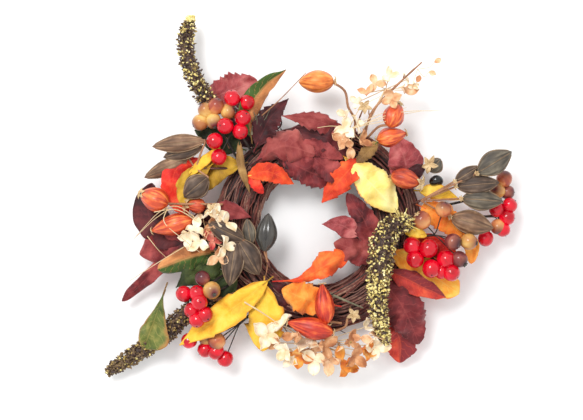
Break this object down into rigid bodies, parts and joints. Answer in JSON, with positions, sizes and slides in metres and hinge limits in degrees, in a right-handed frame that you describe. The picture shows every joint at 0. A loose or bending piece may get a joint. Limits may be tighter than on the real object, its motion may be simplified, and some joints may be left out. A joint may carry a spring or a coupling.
{
  "type": "harvest door wreath",
  "caption": "Round vine wreath dressed with bendable picks of autumn leaves, berries, seed pods, husks, blossoms and seed spikes, with a small wire hanging eye.",
  "frame": {"origin": "middle of the footprint of the wreath lying on its back, at the lowest point of its ties", "axes": "+Z out of the wreath's face, +Y towards the top of the door, +X to the right as seen from the front"},
  "size_m": [0.309, 0.2694, 0.0558],
  "materials": {
    "vine": "dry dark bark",
    "wire": "dull lacquered florist wire",
    "leaf_maroon": "matt pressed leaf",
    "leaf_pink": "matt pressed leaf",
    "leaf_red": "matt pressed leaf",
    "leaf_orange": "matt pressed leaf",
    "leaf_yellow": "matt pressed leaf",
    "leaf_cream": "matt pressed leaf",
    "leaf_green": "matt pressed leaf",
    "berry_red": "glossy lacquer",
    "berry_tan": "satin",
    "pod": "dry ridged husk",
    "pod_dark": "dry ridged husk",
    "husk": "thin papery husk",
    "petal": "thin matt petals",
    "seed_head": "dry grains",
    "twig": "dry bark"
  },
  "bodies": {
    "wreath": {"blossoms_bottom": "petal", "blossoms_left": "petal", "blossoms_upper_right": "petal", "husk_bottom": "husk", "husk_bottom_open": "husk", "husk_left_lower": "husk", "husk_left_upper": "husk", "husk_right": "husk", "husk_upper_right_inner": "husk", "husk_upper_right_outer": "husk", "leaf_cream_right": "leaf_cream", "leaf_green_folded": "leaf_green", "leaf_green_hanging": "leaf_green", "leaf_green_upper_left": "leaf_green", "leaf_maroon_inner_right": "leaf_maroon", "leaf_maroon_left": "leaf_maroon", "leaf_maroon_lower_right": "leaf_maroon", "leaf_maroon_right": "leaf_maroon", "leaf_maroon_tail": "leaf_maroon", "leaf_maroon_top_inner": "leaf_maroon", "leaf_maroon_top_long": "leaf_maroon", "leaf_maroon_top_outer": "leaf_maroon", "leaf_orange_inner": "leaf_orange", "leaf_orange_lower": "leaf_orange", "leaf_orange_right": "leaf_orange", "leaf_pink_upper_left": "leaf_pink", "leaf_red_left": "leaf_red", "leaf_red_lower_right": "leaf_red", "leaf_yellow_lower": "leaf_yellow", "leaf_yellow_lower_left": "leaf_yellow", "pod_dark": "pod_dark", "pods_centre": "pod", "pods_left": "pod", "red_berries_centre_right": "berry_red", "red_berries_lower_left": "berry_red", "red_berries_upper_left": "berry_red", "tan_berries_centre_right": "berry_tan", "tan_berries_lower_left": "berry_tan", "tan_berries_upper_left": "berry_tan", "vine_core": "vine", "vine_strand_1": "vine", "vine_strand_2": "vine", "vine_strand_3": "vine", "vine_strand_4": "vine", "vine_strand_5": "vine", "vine_strand_6": "vine", "wire_tie_1": "wire", "wire_tie_2": "wire", "wire_tie_3": "wire"},
    "hanging_eye": {"hanging_eye": "wire"},
    "spike_upper_left": {"spike_upper_left": "seed_head"},
    "spike_lower_left": {"spike_lower_left": "seed_head"},
    "spike_right": {"spike_right": "seed_head"},
    "drooping_husk": {"husk_top_drooping": "husk"},
    "berry_fan": {"berry_fan_lower_left": "berry_red"},
    "right_spray": {"red_berries_far_right": "berry_red", "tan_berries_far_right": "berry_tan", "pods_right": "pod"},
    "twig_spray": {"blossoms_twig": "petal", "twig_upper_right": "twig"}
  },
  "joints": [
    {"name": "hanging_eye_swing", "type": "hinge", "parent": "wreath", "child": "hanging_eye", "pos_m": [-0.02647, 0.05284, 0.013], "axis": [0.9272, 0.3746, 0], "range_deg": [-60, 60]},
    {"name": "spike_upper_left_bend", "type": "hinge", "parent": "wreath", "child": "spike_upper_left", "pos_m": [-0.04741, 0.02703, 0.0283], "axis": [0, 0, 1], "range_deg": [-12, 4]},
    {"name": "spike_lower_left_bend", "type": "hinge", "parent": "wreath", "child": "spike_lower_left", "pos_m": [-0.05075, -0.0686, 0.0293], "axis": [0, 0, 1], "range_deg": [0, 6]},
    {"name": "spike_right_bend", "type": "hinge", "parent": "wreath", "child": "spike_right", "pos_m": [0.06853, -0.01126, 0.0373], "axis": [0, 0, 1], "range_deg": [-15, 15]},
    {"name": "drooping_husk_bend", "type": "hinge", "parent": "wreath", "child": "drooping_husk", "pos_m": [0.03081, 0.04366, 0.0279], "axis": [0, 0, 1], "range_deg": [0, 6]},
    {"name": "berry_fan_bend", "type": "hinge", "parent": "wreath", "child": "berry_fan", "pos_m": [-0.04271, -0.08695, 0.0263], "axis": [0, 0, 1], "range_deg": [0, 15]},
    {"name": "right_spray_bend", "type": "hinge", "parent": "wreath", "child": "right_spray", "pos_m": [0.08178, -0.00611, 0.0263], "axis": [0, 0, 1], "range_deg": [-2, 15]},
    {"name": "twig_spray_lift", "type": "hinge", "parent": "wreath", "child": "twig_spray", "pos_m": [0.03274, 0.04502, 0.0263], "axis": [0.9205, -0.3907, 0], "range_deg": [0, 10]}
  ]
}
